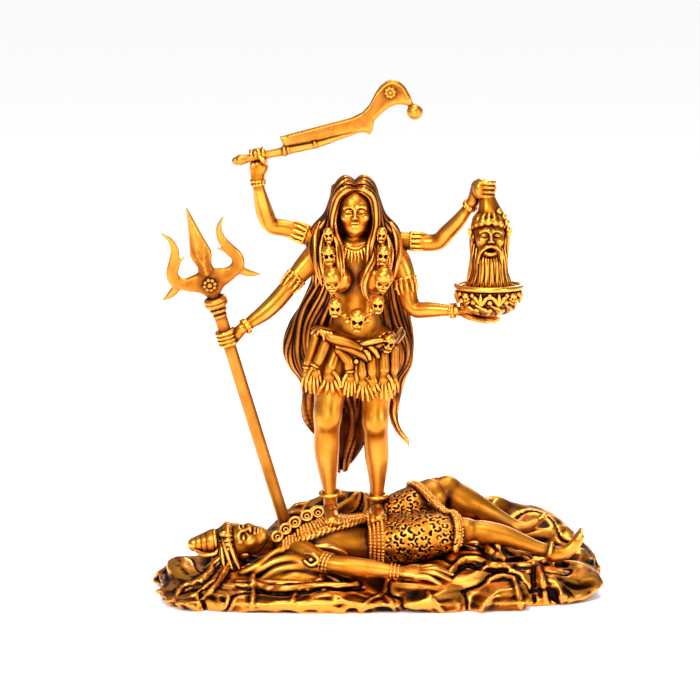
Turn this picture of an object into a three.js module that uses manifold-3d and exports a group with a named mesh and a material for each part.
// A dashboard idol in cast resin: a four-armed goddess stands on a reclining god, on a rock base.
// Millimetres, +Z up. The front faces -Y. The origin is the middle of the base's underside.
// "Right" and "left" are the figure's own, so the right arms are at -X.
import * as THREE from "three";
import { mergeVertices } from "three/addons/utils/BufferGeometryUtils.js";
import Module from "manifold-3d";

const wasm = await Module();
wasm.setup();

// Driving dimensions
const BASE_HALF_LENGTH = 66;
const BASE_HALF_DEPTH = 32;
const FIT = 0.3; // clearance between two castings that meet
const SHAFT_RADIUS = 1.85; // trident shaft
const HANDLE_RADIUS = 1.15; // sword handle
const BLADE_THICKNESS = 1.6;
const BOWL_RADIUS = 9.4;
const BOWL_WALL = 1.3;
const BOWL_CENTRE = [32, -8, 90.4]; // middle of the bowl's mouth

// Shafts: [x, y, z] at the lower and the upper end
const TRIDENT_FOOT = [-26.1, 4.4, 16.5];
const TRIDENT_COLLAR = [-46.1, -9, 86.1];
const SWORD_BUTT = [-39.8, -3, 126.1];
const SWORD_COLLAR = [-26, -3, 128.9];

const resin = (name, colour, roughness) =>
  new THREE.MeshStandardMaterial({ name, color: colour, roughness, metalness: 0.9 });
const FIGURE_GOLD = resin("figure_gold", 0xc8862a, 0.28);
const ROCK_BRONZE = resin("rock_bronze", 0xa8661c, 0.34);
const SATIN_GOLD = resin("satin_gold", 0xd59a42, 0.42);

// Solids

const at = (a, b, t) => a.map((value, i) => value + (b[i] - value) * t);

function manifoldOf(geometry) {
  const bare = geometry.clone();
  bare.deleteAttribute("normal");
  bare.deleteAttribute("uv");
  const merged = mergeVertices(bare, 1e-4);
  return new wasm.Manifold(
    new wasm.Mesh({
      numProp: 3,
      vertProperties: merged.attributes.position.array,
      triVerts: new Uint32Array(merged.index.array),
    }),
  );
}

const join = (solids) => wasm.Manifold.union(solids);

function meshOf(name, solid, material) {
  const { vertProperties, triVerts, numProp } = solid.getMesh();
  const positions = new Float32Array((vertProperties.length / numProp) * 3);
  for (let i = 0; i < positions.length / 3; i++)
    positions.set(vertProperties.subarray(i * numProp, i * numProp + 3), i * 3);
  const geometry = new THREE.BufferGeometry();
  geometry.setAttribute("position", new THREE.BufferAttribute(positions, 3));
  geometry.setIndex(new THREE.BufferAttribute(triVerts, 1));
  geometry.computeVertexNormals();
  const mesh = new THREE.Mesh(geometry, material);
  mesh.name = name;
  return mesh;
}

// A closed skin over rings of equal count, with an apex at each end.
function skin(rings, first, last) {
  const sides = rings[0].length;
  const points = [first, ...rings.flat(), last];
  const index = [];
  const id = (ring, side) => 1 + ring * sides + (side % sides);
  for (let s = 0; s < sides; s++) {
    index.push(0, id(0, s + 1), id(0, s));
    for (let r = 0; r + 1 < rings.length; r++) {
      index.push(id(r, s), id(r, s + 1), id(r + 1, s + 1));
      index.push(id(r, s), id(r + 1, s + 1), id(r + 1, s));
    }
    index.push(points.length - 1, id(rings.length - 1, s), id(rings.length - 1, s + 1));
  }
  const geometry = new THREE.BufferGeometry().setFromPoints(points);
  geometry.setIndex(index);
  return manifoldOf(geometry);
}

// A limb, lock or finger: a round tube through stations [x, y, z, radius], with pointed ends.
// flat scales every section along X, Y and Z.
function limb(stations, sides = 7, flat = [1, 1, 1]) {
  const centres = stations.map(([x, y, z]) => new THREE.Vector3(x, y, z));
  const scale = new THREE.Vector3(...flat);
  const tangents = centres.map((_, i) =>
    centres[Math.min(i + 1, centres.length - 1)].clone().sub(centres[Math.max(i - 1, 0)]).normalize(),
  );
  const guess = Math.abs(tangents[0].x) < 0.8 ? new THREE.Vector3(1, 0, 0) : new THREE.Vector3(0, 1, 0);
  let normal = guess;
  const rings = stations.map(([, , , radius], i) => {
    normal = normal.clone().addScaledVector(tangents[i], -normal.dot(tangents[i])).normalize();
    const side = new THREE.Vector3().crossVectors(tangents[i], normal);
    return Array.from({ length: sides }, (_, s) => {
      const a = (2 * Math.PI * (s + 0.5)) / sides;
      return normal.clone().multiplyScalar(radius * Math.cos(a))
        .addScaledVector(side, radius * Math.sin(a)).multiply(scale).add(centres[i]);
    });
  });
  const apex = (i, lift) => tangents[i].clone().multiplyScalar(lift).multiply(scale).add(centres[i]);
  const last = stations.length - 1;
  return skin(rings, apex(0, -stations[0][3] * 0.85), apex(last, stations[last][3] * 0.85));
}

// Raised rings on a limb: each [segment, from, to, swell] lies between two shares of one segment.
const ringed = (stations, rings) => rings.reduceRight((list, [segment, from, to, swell]) => {
  const edge = 0.12 * (to - from);
  const ring = [[from - edge, 0], [from, swell], [to, swell], [to + edge, 0]].map(([share, extra]) => {
    const [x, y, z, radius] = at(stations[segment], stations[segment + 1], share);
    return [x, y, z, radius + extra];
  });
  return [...list.slice(0, segment + 1), ...ring, ...list.slice(segment + 1)];
}, stations);

function ball([x, y, z], [rx, ry, rz], across = 7, down = 5) {
  const sphere = new THREE.SphereGeometry(1, across, down);
  sphere.rotateX(Math.PI / 2).scale(rx, ry, rz).translate(x, y, z);
  return manifoldOf(sphere);
}

// A bangle: a short band about the line from a to b.
function band(a, b, radius, sides = 6) {
  const lower = new THREE.Vector3(...a);
  const upper = new THREE.Vector3(...b);
  const half = lower.distanceTo(upper) / 2;
  const profile = [[0, -half], [radius * 0.94, -half * 0.8], [radius * 0.94, half * 0.8], [0, half]];
  const lathe = new THREE.LatheGeometry(profile.map(([r, h]) => new THREE.Vector2(r, h)), sides);
  const turn = new THREE.Quaternion().setFromUnitVectors(
    new THREE.Vector3(0, 1, 0), upper.clone().sub(lower).normalize());
  lathe.applyQuaternion(turn).translate(...lower.add(upper).multiplyScalar(0.5).toArray());
  return manifoldOf(lathe);
}

const rod = (a, b, radius, sides = 8) => {
  const length = new THREE.Vector3(...a).distanceTo(new THREE.Vector3(...b));
  const cylinder = new THREE.CylinderGeometry(radius, radius, length, sides);
  const axis = new THREE.Vector3(...b).sub(new THREE.Vector3(...a)).normalize();
  cylinder.applyQuaternion(new THREE.Quaternion().setFromUnitVectors(new THREE.Vector3(0, 1, 0), axis));
  cylinder.translate(...at(a, b, 0.5));
  return manifoldOf(cylinder);
};

// Rock base

const ROCK_PLAN = [ // widest outline of the rock, anticlockwise from its right end
  [66, -2], [63.5, 11], [55, 22], [40, 28], [18, 31.4], [-6, 32], [-28, 28.6], [-44, 16], [-55, 5.5],
  [-64, -1],
  [-65, -9], [-61.5, -21], [-54, -30], [-30, -31.8], [10, -32], [40, -30.6], [56, -22], [64, -11],
];
const BOULDERS = [ // x, y, length, depth, height
  [-24, 22, 8, 9, 9], [-13, 24, 9, 8, 9.5], [-3, 25, 8, 7, 9], [14, 22, 14, 9, 7], [38, 20, 12, 9, 9.5],
  [52, 17, 9, 9, 7], [60, 8, 6, 8, 3.5], [-43, -2, 11, 9, 3], [30, -12, 19, 7, 7.5], [-38, 10, 8, 8, 3.5],
  [30, 22, 7, 7, 3.5], [27, 5, 8, 6, 12],
];
const SHELVES = [ // share of the plan's size, share of the rock's height
  [0.955, 0], [1, 0.42], [0.97, 0.76], [0.88, 0.95], [0.7, 1], [0.42, 1],
];
const ROCK_SIDES = 28;
const bump = (x, centre, width) => Math.exp(-(((x - centre) / width) ** 2));

function rockHeight(x, y) {
  const slope = 6.4 + 0.09 * (y + BASE_HALF_DEPTH) - 3.2 * bump(x, -66, 10);
  return BOULDERS.reduce(
    (sum, [bx, by, length, depth, height]) => sum + height * bump(x, bx, length) * bump(y, by, depth), slope);
}

function rock() {
  const outline = new THREE.CatmullRomCurve3(ROCK_PLAN.map(([x, y]) => new THREE.Vector3(x, y, 0)), true);
  const plan = outline.getSpacedPoints(ROCK_SIDES).slice(0, -1);
  const fit = [["x", BASE_HALF_LENGTH], ["y", BASE_HALF_DEPTH]].map(([axis, half]) => {
    const values = plan.map((point) => point[axis]);
    const low = Math.min(...values);
    return (point) => ((2 * (point[axis] - low)) / (Math.max(...values) - low) - 1) * half;
  });
  const rings = SHELVES.map(([share, rise]) => plan.map((point) => {
    const [x, y] = fit.map((fitted) => share * fitted(point));
    return new THREE.Vector3(x, y, rise * rockHeight(x, y));
  }));
  return skin(rings, new THREE.Vector3(0, 0, 0), new THREE.Vector3(0, 0, rockHeight(0, 0)));
}

// Reclining god: stations are [x, y, z, radius]

const RECLINING = {
  trunk: [[-26, 0, 13.6, 5], [-20, 0, 14.4, 6.2], [-12, 0, 14.8, 6.4], [-4, 0, 14, 5.6], [4, 0, 13.8, 5.8]],
  skirt: [[3, 0, 14, 6.3], [11, 0.5, 15.3, 7.3], [18, 0.5, 16.5, 6.4]],
  neck: [[-33, -5.4, 14.6, 3], [-26, -3, 14, 3.8]],
  topknot: [[-43, -7, 17, 4.2], [-46, -7.4, 16.4, 3.4], [-50, -7.6, 15.6, 2.8], [-53.6, -8, 14.9, 1.8]],
  nearArm: [[-25, -10.5, 13.8, 3.7], [-18, -15, 12.2, 3.3], [-12, -17.8, 10.9, 2.8], [-3, -19.6, 10.2, 2.8],
    [5.4, -20.9, 9.4, 1.8]],
  farArm: [[-24, 10.5, 14.2, 3.7], [-16, 15.5, 15, 3.2], [-8, 18, 16, 2.7], [6, 17.5, 18.6, 1.8]],
  nearLeg: [[12, -6, 14.5, 6.2], [20, -7.8, 18, 5.2], [27, -9, 20, 3.6], [35.7, -9.5, 18.6, 3.3],
    [44.4, -10.5, 15.7, 2.4], [51.5, -11, 13.4, 1.9]],
  nearFoot: [[51.5, -11, 13.2, 2.2], [55.9, -11, 14.4, 2], [58.4, -11, 17, 1.6], [59.6, -11, 19.4, 1.1]],
  farThigh: [[5, 5, 18, 7], [10, 6.6, 22.2, 6.3], [16.4, 8.4, 24, 6.1], [20.8, 10, 28.8, 3.2]],
  farShin: [[20.8, 10, 28.8, 3.2], [23.6, 9.6, 24.8, 5.3], [30, 9.4, 22.4, 3.9],
    [36, 8.8, 20, 2.3], [41.5, 8, 17, 1.8]],
  farFoot: [[41.5, 8, 16.6, 2], [45.6, 8, 17.6, 1.6], [49.5, 8, 20, 1.1]],
};

function recliningHead() {
  return [
    ball([-38.2, -7, 15.6], [6.4, 5.2, 5.4], 7, 5),
    ball([-35, -9.6, 18], [3.4, 3.2, 2.6], 6, 4),
    limb([[-38.6, -10.6, 19.6, 0.7], [-36.2, -11.2, 20.2, 1]], 4),
    limb(RECLINING.neck, 5), limb(RECLINING.topknot, 6),
    band([-47.4, -7.4, 16], [-46.2, -7.3, 16.3], 4, 6), band([-51, -7.7, 15.4], [-50.2, -7.6, 15.6], 3.1, 6),
  ];
}

// An open hand: one flat form with four fingers and a thumb, outlined as [along, across].
const HAND_OUTLINE = [[-0.08, 0.6], [0.92, 1.5], [0.55, 0.55], [1, 0.5], [0.55, -0.1], [0.99, -0.5],
  [0.5, -0.6], [0.86, -1.4], [0.34, -1], [0.62, -2.2], [-0.08, -0.6]];

function hand(wrist, reach, spread, thickness) {
  const along = new THREE.Vector3(...reach);
  const across = new THREE.Vector3(...spread);
  const through = new THREE.Vector3().crossVectors(along, across).normalize();
  const shape = new THREE.Shape(HAND_OUTLINE.map(([a, b]) => new THREE.Vector2(a, b)));
  const flat = new THREE.ExtrudeGeometry(shape, { depth: thickness, bevelEnabled: false, steps: 1 });
  const basis = new THREE.Matrix4().makeBasis(along, across, through).setPosition(...wrist);
  return manifoldOf(flat.translate(0, 0, -thickness / 2).applyMatrix4(basis));
}

function recliningDress() {
  const rosettes = [[-28.5, -9, 16.8], [-26.2, -8, 18.8], [-23.6, -6.6, 20.2], [-20.2, -4, 21.2],
    [-17, -1, 21.6]];
  const snakes = Array.from({ length: 3 }, (_, i) => limb([
    [-41 - i, -11.5, 13, 1.1], [-45 - 2.6 * i, -18, 9.6, 1.2], [-48 - 3 * i, -25 + 1.6 * i, 3.6, 0.9]], 4));
  return [
    limb([[1.5, 7, 19.4, 1.4], [1, 0, 20.4, 1.5], [1, -6, 18.4, 1.6], [2.6, -11, 11, 1.6]], 4, [1.4, 1, 1]),
    limb([[-25.5, -8.8, 16.6, 1.2], [-18, -7.4, 19.6, 1.3], [-10, -5, 20.9, 1.3], [-2, -0.5, 20.2, 1.1]], 4),
    limb([[17, -14, 14.5, 1.4], [21.5, -12.6, 18.6, 1.5], [22.6, -8, 23, 1.5], [21, -4, 24.2, 1.4]], 4),
    limb([[10, 3.6, 26.2, 1.3], [13.6, 5, 28.4, 1.5], [18, 8, 31, 1.3], [19, 13, 27.6, 1.3]], 4),
    limb([[-33, -14.6, 11, 1.2], [-26, -12.6, 14.6, 1.5], [-19, -13, 15.4, 1.3], [-13, -16, 13.4, 0.9]], 4),
    ...rosettes.map((place) => ball(place, [1.8, 1.8, 1.4], 5, 3)),
    ...snakes,
  ];
}

const recliningGod = () => [
  ...recliningHead(),
  limb(RECLINING.trunk, 8, [1, 1.42, 1]),
  limb(RECLINING.skirt, 8, [1, 1.32, 1]),
  limb(ringed(RECLINING.nearArm, [[1, 0.3, 0.7, 0.8], [3, 0.66, 0.9, 0.6]]), 5),
  limb(ringed(RECLINING.nearLeg, [[4, 0.56, 0.78, 0.7]]), 6),
  ...["farThigh", "farShin", "farArm", "nearFoot", "farFoot"].map((name) => limb(RECLINING[name], 5)),
  hand([6, -21, 9.3], [12.6, -0.8, -0.3], [0.1, 1.9, 0.2], 1.8),
  hand([6.4, 17.4, 18.6], [9, -1, 0.6], [-0.1, 1.6, 0], 1.6),
  ...recliningDress(),
];

// Goddess: stations are [x, y, z, radius]

const GODDESS = {
  trunk: [[-5.7, 1.2, 68.5, 8.4], [-5.7, 1.2, 75, 7.8], [-5.7, 1.2, 82.4, 6.2], [-5.8, 0.8, 90, 7.6],
    [-6, 0.8, 96, 8.6], [-6.1, 1.2, 100, 6.2]],
  rightLeg: [[-11.2, 1, 70, 6], [-12.9, -1.4, 62, 4.9], [-14.1, -3.6, 54, 4], [-14.4, -1.8, 45, 3.8],
    [-14, -0.6, 36.5, 2.9], [-13.5, 0, 28, 1.9], [-13.4, 0.6, 24.4, 2.1]],
  leftLeg: [[0.2, 2, 70.5, 5.8], [0, 1, 61, 4.5], [-0.4, 0, 52, 3.7], [0.2, 2, 42, 3.6], [0.3, 3, 34, 2.7],
    [0.2, 3.6, 26.6, 1.9], [0.3, 3.8, 24, 2.1]],
  rightFoot: [[-13.4, 1.2, 23.6, 1.9], [-13, -3, 23.4, 2.1], [-12.7, -6.6, 22.8, 1.6]],
  leftFoot: [[0.3, 4.2, 23.6, 1.9], [0.5, 0.4, 23.3, 2.1], [0.7, -3, 22.7, 1.6]],
  rightLowerArm: [[-15.6, 1.4, 99.4, 3.8], [-18.6, 1.2, 97.4, 3.3], [-21.8, 0.4, 94, 2.9], [-25, -1, 90, 2.7],
    [-29, -3, 85.2, 2.7], [-33.4, -5.4, 81.6, 2.3], [-38.6, -8, 78.2, 1.5]],
  rightUpperArm: [[-15.5, 3.4, 101.6, 3.3], [-20.5, 4, 103.8, 2.6], [-26.5, 3.6, 105.8, 2.4],
    [-30.8, 3, 107, 2.5],
    [-32.6, 0.6, 112.6, 2.6], [-34, -1.2, 119.4, 1.6]],
  leftLowerArm: [[4.4, 1.4, 98.6, 3.8], [6.4, 1, 96, 3.2], [8.2, 0, 90, 2.8], [9.6, -1, 84.4, 2.6],
    [11.4, -2, 82.9, 2.4], [17, -4.6, 83.2, 2.3], [22.8, -7.6, 83.3, 1.4]],
  leftUpperArm: [[3.4, 3.4, 101.2, 3.2], [8, 4, 102.2, 2.7], [13, 3.4, 101.7, 2.5], [17.6, 2, 101.8, 2.5],
    [23.2, -2, 108.2, 2.2], [27, -4.4, 113.4, 1.6]],
};

// Hair falls behind her in one mass: height, middle x, middle y, half width, half depth.
const HAIR_MASS = [
  [119, -6.4, 1.8, 5.4, 4.4], [114.6, -6.3, 2.5, 7.4, 5.2], [106, -6.3, 4.6, 10.1, 5.4],
  [97, -6, 6.5, 11.4, 4.6],
  [87, -6.5, 7.8, 13, 4.4], [77, -7.8, 8.8, 17.8, 5], [71, -7.8, 8.8, 18.9, 5.2], [64, -6.9, 8.8, 16.9, 5],
  [57, -7.6, 9, 12, 4.6],
];
const HAIR_SIDES = 12;
const FLUTE = 0.06;

function hairMass() {
  const rings = HAIR_MASS.map(([z, x, y, wide, deep]) => Array.from({ length: HAIR_SIDES }, (_, s) => {
    const a = (-2 * Math.PI * s) / HAIR_SIDES;
    const swell = 1 + (s % 2 ? -FLUTE : FLUTE) * Math.min(1, (120 - z) / 20);
    return new THREE.Vector3(x + wide * swell * Math.cos(a), y + deep * swell * Math.sin(a), z);
  }));
  return skin(rings, new THREE.Vector3(-6.3, 1.6, 120.6), new THREE.Vector3(-7.6, 9, 54));
}

const LOCKS = {
  tails: [
    [[-17, 9, 64, 4.2], [-18, 9.2, 56, 3.4], [-18.6, 9.4, 50.4, 3], [-16.6, 9.6, 45.4, 1.8]],
    [[-14, 9.6, 60, 4.2], [-13.4, 10.4, 50, 4], [-12.6, 11, 41, 3.8], [-10.6, 11, 34.4, 2.4]],
    [[-7, 10, 60, 4.4], [-6.8, 10.8, 50, 4.2], [-7.8, 11.2, 42, 3.8], [-9.4, 11, 34.6, 2.6]],
    [[0, 9.6, 60, 4], [-1.6, 10.4, 52, 3.2], [-3.6, 11, 45, 2]],
    [[7, 8.6, 62, 3.4], [4.4, 8.2, 54.5, 2.4], [4.6, 7.2, 49.6, 1.8], [6.6, 5.6, 45.6, 1.3],
      [9, 4.4, 43.6, 0.7]],
  ],
  crown: [
    [[-6.9, -3, 119.4, 1.8], [-10.6, -3, 117, 2], [-12.6, -1.6, 111.6, 2], [-13.4, -1.4, 107, 1.8],
      [-13.6, -2.4, 103, 1.4]],
    [[-5.7, -3, 119.2, 1.8], [-1.8, -3, 116.8, 2], [0, -1.6, 111.6, 2], [1, -1.4, 107, 1.8],
      [1.4, -2.4, 103, 1.4]],
    [[-11, 0, 117, 2.4], [-14, 0.6, 111, 2.4], [-16.4, 0, 107, 2.2]],
    [[-1.6, 0, 116.8, 2.4], [0.8, 1, 112, 2.5], [4, 1, 107.6, 2.4]],
  ],
  chest: [
    [[-16.6, 0, 108, 2], [-18, -1.6, 103.6, 2], [-17.6, -3.8, 98.4, 1.7], [-16.2, -5, 92.6, 1]],
    [[-11.4, -2.5, 108.4, 1.3], [-10.1, -4, 105, 1.4], [-10.2, -5.4, 100.4, 1.4], [-8.8, -7, 92.4, 0.8]],
    [[-1.6, -2.5, 108.4, 1.3], [-2.7, -4, 105, 1.4], [-2, -5.8, 100, 1.4], [-4.6, -7.4, 92, 1.2]],
    [[3.8, 0.6, 109, 2.2], [6.6, -0.6, 104, 2.1], [7.2, -3, 99.8, 1.9], [5, -4.6, 92, 1]],
  ],
};

const hairLocks = () => [
  ...LOCKS.tails.map((lock) => limb(lock, 4)),
  ...LOCKS.crown.map((lock) => limb(lock, 4)),
  ...LOCKS.chest.map((lock) => limb(lock, 4)),
];

const goddessHead = () => [
  ball([-6.2, 0.2, 112.6], [4.8, 5.4, 6], 8, 5),
  limb([[-6.2, -1.4, 110.6, 4.3], [-6.2, -2.4, 107.6, 3]], 6),
  limb([[-6.2, 0.6, 107, 2], [-6.2, 1.2, 99.6, 2.6]], 5),
  limb([[-6.2, -5.2, 112.4, 0.5], [-6.2, -6, 110.2, 0.85]], 4),
];

// A skull, from the cranium down to the jaw, with eye sockets. tilt swings the face down.
function skull([x, y, z], size, tilt = 0) {
  const turn = new THREE.Matrix4().makeRotationX(tilt).setPosition(x, y, z);
  const move = (point) => new THREE.Vector3(...point).multiplyScalar(size).applyMatrix4(turn).toArray();
  const eyes = [-0.38, 0.38].map((side) =>
    ball(move([side, -0.9, -0.05]), [size * 0.26, size * 0.4, size * 0.26], 4, 2));
  const stations = [[0, 0.3, 0.95, 0.5], [0, 0.1, 0.4, 0.95], [0, -0.15, -0.35, 0.85], [0, -0.5, -1.2, 0.45]];
  return limb(stations.map(([sx, sy, sz, r]) => [...move([sx, sy, sz]), r * size]), 5).subtract(join(eyes));
}

const GARLAND = [ // place, size, tilt
  [[-13.8, -4.6, 104.6], 1.7, 0], [[-13.8, -7, 98.8], 2.05, 0], [[-13, -9.6, 92.4], 2.7, 0.7],
  [[-11.8, -8.6, 84.6], 2.1, 0.4], [[-5.5, -8.2, 80.8], 2.4, 0.3], [[0.3, -8.6, 85.2], 2, 0.3],
  [[2, -9.6, 92.6], 2.7, 0.7], [[1.8, -7, 99], 2.05, 0], [[1.4, -4.6, 104.6], 1.7, 0],
];

const garland = () => [
  ...GARLAND.map(([place, size, tilt]) => skull(place, size, tilt)),
  limb(GARLAND.slice(2, 7).map(([[x, y, z]]) => [x, y + 2.4, z, 1]), 3),
];

const SKIRT_ARMS = [ // upper end, elbow, wrist, and where the middle fingertip reaches
  [[-18, -2.6, 74], [-19.6, -3, 69], [-20, -3.2, 64.6], [1.2, -0.4, -8]],
  [[-14, -5.6, 74], [-16, -6.6, 69], [-17.6, -6.8, 64.4], [0.4, 0, -5.6]],
  [[-12.4, -5.8, 71], [-13, -7.4, 67.6], [-13.6, -7.6, 63.8], [0.2, 0.2, -6.2]],
  [[-10, -5.8, 71.4], [-8, -6.8, 68.6], [-7.8, -7, 63.6], [-0.6, 0.6, -8.6]],
  [[-4.8, -6, 70], [-4.2, -6.2, 66], [-3.6, -6.4, 62.2], [0.8, 0.6, -7.6]],
  [[-1.6, -6, 72], [-1.4, -6.4, 67], [-1.2, -6.6, 62.8], [1, 0.6, -7.4]],
  [[2, -5.6, 71.6], [2.2, -6.2, 67], [2.2, -6.4, 63], [0.2, 0.6, -7.2]],
  [[4.8, -4, 72], [4.8, -4.6, 67], [4.8, -4.8, 62.6], [0, 0.6, -6]],
];

const skirt = () => [
  ...SKIRT_ARMS.flatMap(([top, elbow, wrist, reach]) => [
    limb([[...top, 1.7], [...elbow, 1.6], [...wrist, 1.1]], 4),
    hand(wrist, reach, [1.2, -0.1, 0], 1.3),
  ]),
  limb([[-17, 0, 76.4, 1.8], [-14.6, -5, 76.4, 2], [-8, -6.4, 74.6, 1.9], [-3, -6.8, 73.4, 2.2],
    [3, -5.6, 74.6, 2.4],
    [6.6, 0, 75.4, 2]], 5),
  ball([3.4, -6.4, 73.4], [2.6, 2, 3.2], 6, 4),
];

// A fist closed about the line through centre along axis: four curled fingers, palm and heel.
function fist(centre, axis, wrist, grip) {
  const along = new THREE.Vector3(...axis).normalize();
  const middle = new THREE.Vector3(...centre);
  const back = new THREE.Vector3(...wrist).sub(middle);
  back.addScaledVector(along, -back.dot(along)).normalize();
  const place = (a, b) => middle.clone().addScaledVector(along, a).addScaledVector(back, b).toArray();
  const knuckle = grip + 1.35;
  const crease = grip + 0.95;
  const profile = [[0, -2.5], [knuckle - 0.2, -2.1], [crease, -1.2], [knuckle, -0.7], [crease, 0],
    [knuckle, 0.7],
    [crease, 1.2], [knuckle - 0.2, 2.1], [0, 2.5]];
  const fingers = new THREE.LatheGeometry(profile.map(([r, h]) => new THREE.Vector2(r, h)), 6);
  fingers.applyQuaternion(new THREE.Quaternion().setFromUnitVectors(new THREE.Vector3(0, 1, 0), along));
  return [
    manifoldOf(fingers.translate(...centre)),
    limb([[...wrist, 1.5], [...place(0.3, grip + 0.7), 2.1]], 5),
  ];
}

function goddessHands() {
  const direction = (from, to) => to.map((value, i) => value - from[i]);
  return [
    ...fist(at(TRIDENT_FOOT, TRIDENT_COLLAR, 0.85), direction(TRIDENT_FOOT, TRIDENT_COLLAR),
      [-38.8, -8, 78.2], SHAFT_RADIUS),
    ...fist(at(SWORD_BUTT, SWORD_COLLAR, 0.42), direction(SWORD_BUTT, SWORD_COLLAR),
      [-34.2, -1.6, 121.2], HANDLE_RADIUS),
    ...fist([31.1, -7.3, 118.7], [0.06, -0.06, 1], [27.6, -4.8, 114.6], 1.7),
    limb([[22.8, -7.6, 83.3, 1.5], [26, -6.4, 83.2, 2], [30, -3.4, 82.2, 2],
      [36, -2, 82.4, 1.4]], 6, [1, 1, 0.8]),
  ];
}

const RINGS = { // anklets, wrist bangles and armlets: segment, from, to, swell
  rightLeg: [[4, 0.82, 0.98, 0.9]],
  leftLeg: [[4, 0.74, 0.94, 0.9]],
  rightLowerArm: [[2, 0.1, 0.75, 0.7], [5, 0.28, 0.7, 0.7]],
  rightUpperArm: [[1, 0.1, 0.6, 0.7], [4, 0.62, 0.88, 0.6]],
  leftLowerArm: [[2, 0.1, 0.6, 0.7], [5, 0.62, 0.88, 0.6]],
  leftUpperArm: [[1, 0.4, 0.95, 0.6], [4, 0.4, 0.76, 0.5]],
};

const goddess = () => join([
  limb(GODDESS.trunk, 10, [1, 0.7, 1]),
  ball([-12.2, -4, 92.2], [3.7, 3.4, 3.7], 6, 4),
  ball([-0.2, -4, 92.2], [3.7, 3.4, 3.7], 6, 4),
  ...Object.keys(RINGS).map((name) => limb(ringed(GODDESS[name], RINGS[name]), name.endsWith("Leg") ? 6 : 5)),
  ...["rightFoot", "leftFoot"].map((name) => limb(GODDESS[name], 5)),
  ...goddessHead(), hairMass(), ...hairLocks(), ...garland(), ...skirt(), ...goddessHands(),
]);

// Attributes

function severedHead() {
  const beard = [-1, -0.5, 0, 0.5, 1].map((side) => limb([
    [32.2 + side * 3, -10.6 + 1.4 * Math.abs(side), 99.4, 1.6],
    [31.8 + side * 4.4, -11 + 1.6 * Math.abs(side), 95, 1.4],
    [31.5 + side * 6, -11 + 2 * Math.abs(side), 91.2, 0.8]], 3));
  const ears = [-1, 1].map((side) => limb([
    [32.2 + side * 4.4, -7.6, 103, 1], [32.3 + side * 6, -7.6, 106.2, 0.5]], 4));
  return join([
    ball([32.2, -8, 104.6], [5.1, 4.8, 5.4], 8, 5),
    limb([[32.2, -8.4, 101.4, 4.8], [32, -8, 97.4, 4.6], [31.7, -7.6, 93, 5.4]], 7, [1, 0.85, 1]),
    limb([[32.5, -7.8, 109, 3.6], [32, -7.6, 112, 2.8], [31.3, -7.4, 115.4, 2], [31, -7.3, 118.4, 1.4]], 5),
    limb([[34.6, -8.6, 111, 1.1], [36.6, -8.4, 109.2, 1.1], [37.2, -7.8, 106, 1]], 4),
    limb([[32.2, -12.2, 105, 0.6], [32.2, -13.4, 102.8, 1]], 4),
    ...ears, ...beard,
  ]);
}

// A round form about the bowl's axis, from [radius, height] pairs in shares of size.
function bowlForm(profile, size) {
  const lathe = new THREE.LatheGeometry(profile.map(([r, h]) => new THREE.Vector2(r * size, h * size)), 14);
  lathe.rotateX(Math.PI / 2).translate(...BOWL_CENTRE);
  return manifoldOf(lathe);
}

const BOWL_OUTSIDE = [[0, -0.94], [0.46, -0.84], [0.8, -0.54], [0.95, -0.12], [1.05, -0.06], [1.05, 0.08],
  [0, 0.08]];
const BOWL_INSIDE = [[0, -0.92], [0.46, -0.82], [0.82, -0.5], [1, 0.3], [0, 0.3]];
const BOSSES = 8;

function bowl() {
  const bosses = Array.from({ length: BOSSES }, (_, i) => {
    const angle = (2 * Math.PI * (i + 0.5)) / BOSSES;
    const low = i % 2 ? 0.34 : 0.5;
    const out = Math.sqrt(0.88 - low * low);
    return ball([out * Math.cos(angle), out * Math.sin(angle),
      -low].map((v, k) => BOWL_CENTRE[k] + v * BOWL_RADIUS),
      [1.3, 1.3, 1.2], 4, 3);
  });
  return join([bowlForm(BOWL_OUTSIDE, BOWL_RADIUS), ...bosses])
    .subtract(bowlForm(BOWL_INSIDE, BOWL_RADIUS - BOWL_WALL));
}

// The trident's head lies in the plane of its shaft and X: stations are [across, along, radius].
const PRONG = [[0, 0, 2.5], [3.4, 0.7, 2.5], [6.4, 1.25, 1.9], [9.2, 3.1, 1.9], [9.6, 5.8, 1.7],
  [8.1, 8.9, 1.5],
  [6.9, 12, 1.2], [7.2, 15.3, 0.7], [9.1, 18, 0.25]];
const BARB = [[8.4, 2.4, 1.3], [11.3, 0.1, 1.1], [14.5, -1.3, 0.25]];
const HOOK = [[7.4, 7.8, 0.6], [4.9, 9.6, 0.25]];
const SPEARHEAD = [[0, 1.6], [1.9, 3.2], [1.8, 5.2], [2.7, 7.3], [3.15, 9.3], [1.9, 14.5], [0, 23.4]];

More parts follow.
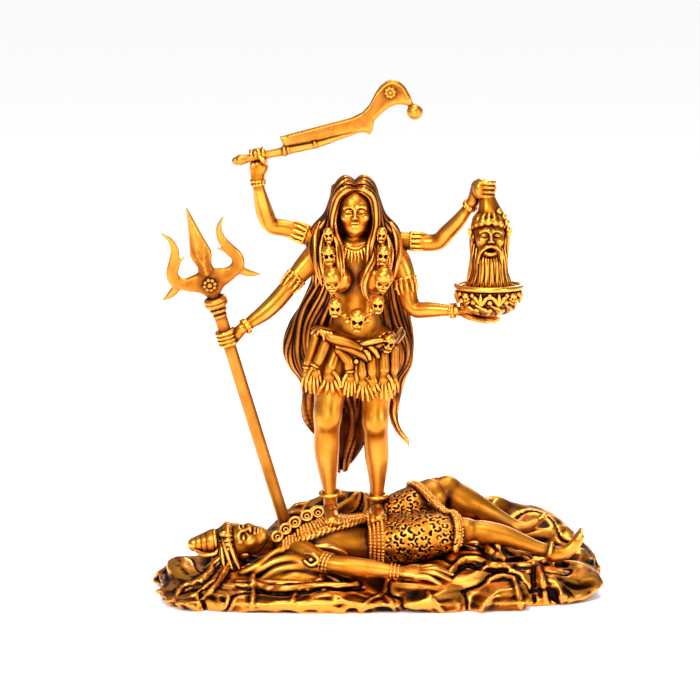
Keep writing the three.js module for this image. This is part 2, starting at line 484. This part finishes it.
function trident() {
  const up = new THREE.Vector3(...TRIDENT_COLLAR).sub(new THREE.Vector3(...TRIDENT_FOOT)).normalize();
  const across = new THREE.Vector3(1, 0, 0).addScaledVector(up, -up.x).normalize();
  const hub = new THREE.Vector3(...TRIDENT_COLLAR).addScaledVector(up, 5.8);
  const place = (a, b) => hub.clone().addScaledVector(across, a).addScaledVector(up, b).toArray();
  const mirrored = (stations, sides) => [-1, 1].map((side) =>
    limb(stations.map(([a, b, r]) => [...place(side * a, b), r]), sides, [1, 0.65, 1]));
  const spear = new THREE.LatheGeometry(SPEARHEAD.map(([r, h]) => new THREE.Vector2(r, h)), 6);
  const facing = new THREE.Vector3().crossVectors(across, up);
  spear.scale(1, 1, 0.6).applyMatrix4(new THREE.Matrix4().makeBasis(across, up, facing).setPosition(hub));
  return join([
    rod(TRIDENT_FOOT, TRIDENT_COLLAR, SHAFT_RADIUS),
    ...mirrored(PRONG, 4), ...mirrored(BARB, 4), ...mirrored(HOOK, 3), manifoldOf(spear),
    limb([[...at(TRIDENT_FOOT, TRIDENT_COLLAR, 0.94), 1.8], [...place(0, -2.6), 1.6],
      [...place(0, 1.5), 2.4]], 6),
    band(place(0, -6.6), place(0, -5.1), 3.4, 8),
    band(place(0, -8.8), place(0, -7.8), 2.5, 8),
    ball(place(0, 0).map((value, i) => value - [0, 1.4, -0.4][i]), [2.2, 1, 2.2], 6, 4),
  ]);
}

// Blade outline: [along the handle, above it] from the heel, round the hooked end and back.
const BLADE_OUTLINE = [[13.6, 0.4], [13, 3.6], [18.7, 4.7], [27.9, 5.2], [34.3, 5.6], [37.7, 6.5], [40, 8.1],
  [42.3, 11], [44.2, 12.9], [46.1, 13.8], [47.8, 14], [49.7, 13.1], [51.1, 11.3], [52, 8.5], [52.4, 5.6],
  [51.4, 5.2],
  [49.8, 6.2], [47.9, 6.7], [45.5, 6.3], [43, 5], [40.6, 3.4], [39.4, 0.6], [38.6, -0.2], [37.1, 0.8],
  [34.6, 1]];

function sword() {
  const along = new THREE.Vector3(...SWORD_COLLAR).sub(new THREE.Vector3(...SWORD_BUTT)).normalize();
  const above = new THREE.Vector3(-along.z, 0, along.x);
  const place = (a, b, forward = 0) => new THREE.Vector3(...SWORD_BUTT).addScaledVector(along, a)
    .addScaledVector(above, b).add(new THREE.Vector3(0, -forward, 0)).toArray();
  const shape = new THREE.Shape(BLADE_OUTLINE.map(([a, b]) => new THREE.Vector2(a, b)));
  const blade = new THREE.ExtrudeGeometry(shape, { depth: BLADE_THICKNESS, bevelEnabled: false, steps: 1 });
  const basis = new THREE.Matrix4().makeBasis(along, above, new THREE.Vector3(0, -1, 0));
  blade.translate(0, 0, -BLADE_THICKNESS / 2).applyMatrix4(basis.setPosition(...SWORD_BUTT));
  return join([
    manifoldOf(blade),
    rod(SWORD_BUTT, SWORD_COLLAR, HANDLE_RADIUS, 8),
    limb([[...place(12, 0), 1.1], [...place(23, 0), 0.9], [...place(30, 1), 0.7]], 5),
    band(place(-0.6, 0), place(1.4, 0), 1.7), band(place(13, 0), place(14.4, 0), 1.6),
    band(place(22, 0), place(23.2, 0), 1.3),
    ball(place(52.4, 3.6), [2.35, 2.35, 2.35], 8, 6),
    ball(place(46.5, 10.5, 0.7), [1.8, 0.7, 1.8], 6, 4),
  ]);
}

// Assembly: each casting is cut clear of what it holds or stands on.

const grown = (stations) => stations.map(([x, y, z, radius]) => [x, y, z, radius + FIT + 0.1]);
const largest = (solid) => solid.decompose().sort((a, b) => b.volume() - a.volume())[0];

const severedHeadSolid = severedHead();
const shaftHole = rod(at(TRIDENT_FOOT, TRIDENT_COLLAR, -0.02), at(TRIDENT_FOOT, TRIDENT_COLLAR, 0.93),
  SHAFT_RADIUS + FIT, 8);
const handleHole = rod(at(SWORD_BUTT, SWORD_COLLAR, -0.1), at(SWORD_BUTT, SWORD_COLLAR, 1.1),
  HANDLE_RADIUS + FIT, 8);
const hairHole = limb([[31.8, -7.6, 112.6, 3], [31.3, -7.4, 115.4, 2.5], [31, -7.3, 118.8, 1.9]], 6);
const bowlHole = bowlForm(BOWL_OUTSIDE, BOWL_RADIUS + FIT + 1);
const seats = [
  ...["rightFoot", "leftFoot"].map((name) => limb(grown(GODDESS[name]), 5)),
  ...["rightLeg", "leftLeg"].map((name) => limb(grown(GODDESS[name].slice(-2)), 6)),
];

const idol = new THREE.Group();
idol.add(
  meshOf("rock_base", largest(join([rock(), ...recliningGod()]).subtract(join([...seats, shaftHole]))),
    ROCK_BRONZE),
  meshOf("goddess", largest(goddess().subtract(join([shaftHole, handleHole, hairHole, bowlHole]))),
    FIGURE_GOLD),
  meshOf("trident", trident(), SATIN_GOLD),
  meshOf("sword", sword(), SATIN_GOLD),
  meshOf("severed_head", severedHeadSolid, FIGURE_GOLD),
  meshOf("skull_bowl", bowl(), FIGURE_GOLD),
);
export default idol;
